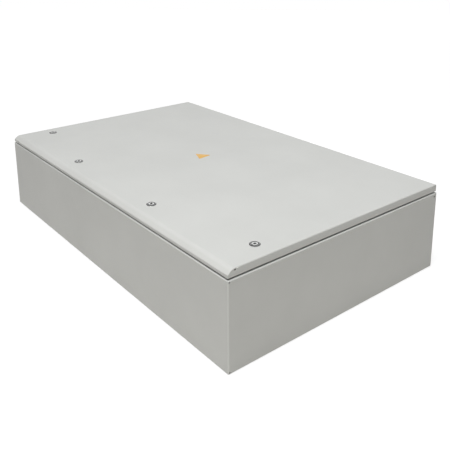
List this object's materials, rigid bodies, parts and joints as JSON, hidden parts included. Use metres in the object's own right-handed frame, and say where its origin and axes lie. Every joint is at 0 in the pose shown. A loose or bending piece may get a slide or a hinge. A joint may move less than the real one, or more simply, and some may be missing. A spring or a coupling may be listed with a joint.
{
  "type": "wall-mounted electrical enclosure",
  "caption": "Grey sheet-steel wall enclosure with a folded door on concealed hinges, quarter-turn locks, a sealed rim and a mounting plate inside.",
  "frame": {"origin": "centre of the back face, which lies on the wall when the enclosure hangs and on the floor as it is stored", "axes": "+Z out of the back towards the door, +X towards the end that hangs lowest on a wall, +Y from the lock side to the hinge side"},
  "size_m": [1.2, 0.75, 0.2526],
  "materials": {
    "paint": "fine-textured light-grey powder coat",
    "zinc": "zinc-plated",
    "steel": "plain steel",
    "lock_chrome": "chrome-plated die casting",
    "rubber": "matt foam and rubber"
  },
  "bodies": {
    "case": {"case_shell": "paint", "mounting_plate": "zinc", "plate_studs": "steel", "plate_washers": "zinc", "plate_nuts": "zinc", "case_earth_stud": "steel", "case_earth_washer": "zinc", "case_earth_nut": "zinc", "hinge_top_strap": "paint", "hinge_middle_strap": "paint", "hinge_bottom_strap": "paint", "hinge_top_pin": "steel", "hinge_middle_pin": "steel", "hinge_bottom_pin": "steel"},
    "door": {"door_panel": "paint", "door_seal": "rubber", "door_rib_lock_side": "paint", "door_rib_hinge_side": "paint", "door_earth_stud": "steel", "door_earth_washer": "zinc", "door_earth_nut": "zinc", "lock_seals": "rubber", "hinge_top_leaf": "paint", "hinge_middle_leaf": "paint", "hinge_bottom_leaf": "paint", "lock_1_housing": "lock_chrome", "lock_1_nut": "zinc", "lock_2_housing": "lock_chrome", "lock_2_nut": "zinc", "lock_3_housing": "lock_chrome", "lock_3_nut": "zinc", "lock_4_housing": "lock_chrome", "lock_4_nut": "zinc"},
    "lock_1": {"lock_1_barrel": "lock_chrome", "lock_1_cam": "zinc", "lock_1_bolt": "steel"},
    "lock_2": {"lock_2_barrel": "lock_chrome", "lock_2_cam": "zinc", "lock_2_bolt": "steel"},
    "lock_3": {"lock_3_barrel": "lock_chrome", "lock_3_cam": "zinc", "lock_3_bolt": "steel"},
    "lock_4": {"lock_4_barrel": "lock_chrome", "lock_4_cam": "zinc", "lock_4_bolt": "steel"}
  },
  "joints": [
    {"name": "door_hinge", "type": "hinge", "parent": "case", "child": "door", "pos_m": [0, 0.3652, 0.24], "axis": [-1, 0, 0], "range_deg": [0, 110]},
    {"name": "lock_1_turn", "type": "hinge", "parent": "door", "child": "lock_1", "pos_m": [-0.545, -0.253, 0.25], "axis": [0, 0, 1], "range_deg": [0, 90]},
    {"name": "lock_2_turn", "type": "hinge", "parent": "door", "child": "lock_2", "pos_m": [-0.21, -0.316, 0.25], "axis": [0, 0, -1], "range_deg": [0, 90]},
    {"name": "lock_3_turn", "type": "hinge", "parent": "door", "child": "lock_3", "pos_m": [0.21, -0.316, 0.25], "axis": [0, 0, 1], "range_deg": [0, 90]},
    {"name": "lock_4_turn", "type": "hinge", "parent": "door", "child": "lock_4", "pos_m": [0.545, -0.253, 0.25], "axis": [0, 0, -1], "range_deg": [0, 90]}
  ]
}
